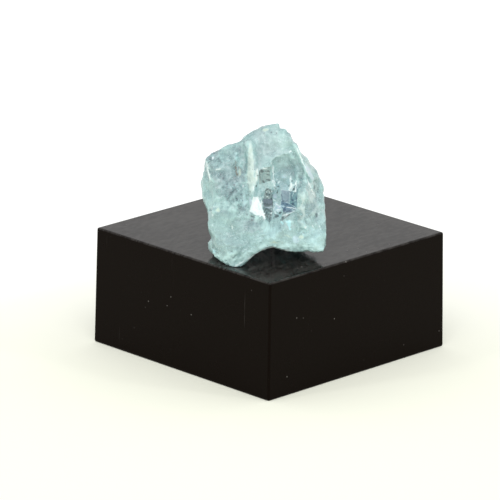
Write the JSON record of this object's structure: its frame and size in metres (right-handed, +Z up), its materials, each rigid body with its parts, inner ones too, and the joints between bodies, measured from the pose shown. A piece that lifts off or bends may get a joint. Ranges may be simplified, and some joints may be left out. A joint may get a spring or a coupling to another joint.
{
  "type": "aquamarine crystal on display block",
  "caption": "Rough, etched fragment of pale blue aquamarine, part frosted and part glassy, standing near the corner of a low square black display block.",
  "frame": {"origin": "centre of the display block's underside", "axes": "+Z up; X and Y along the block's sides; the crystal's front faces the -X -Y corner, from which it is seen"},
  "size_m": [0.0304, 0.0304, 0.0308],
  "materials": {
    "black_block": "black acrylic, polished on top, satin on its sides",
    "aquamarine": "pale blue beryl, etched and frosted outside with clear glassy faces in front"
  },
  "bodies": {
    "root": {"display_block": "black_block", "aquamarine_crystal": "aquamarine"}
  },
  "joints": []
}
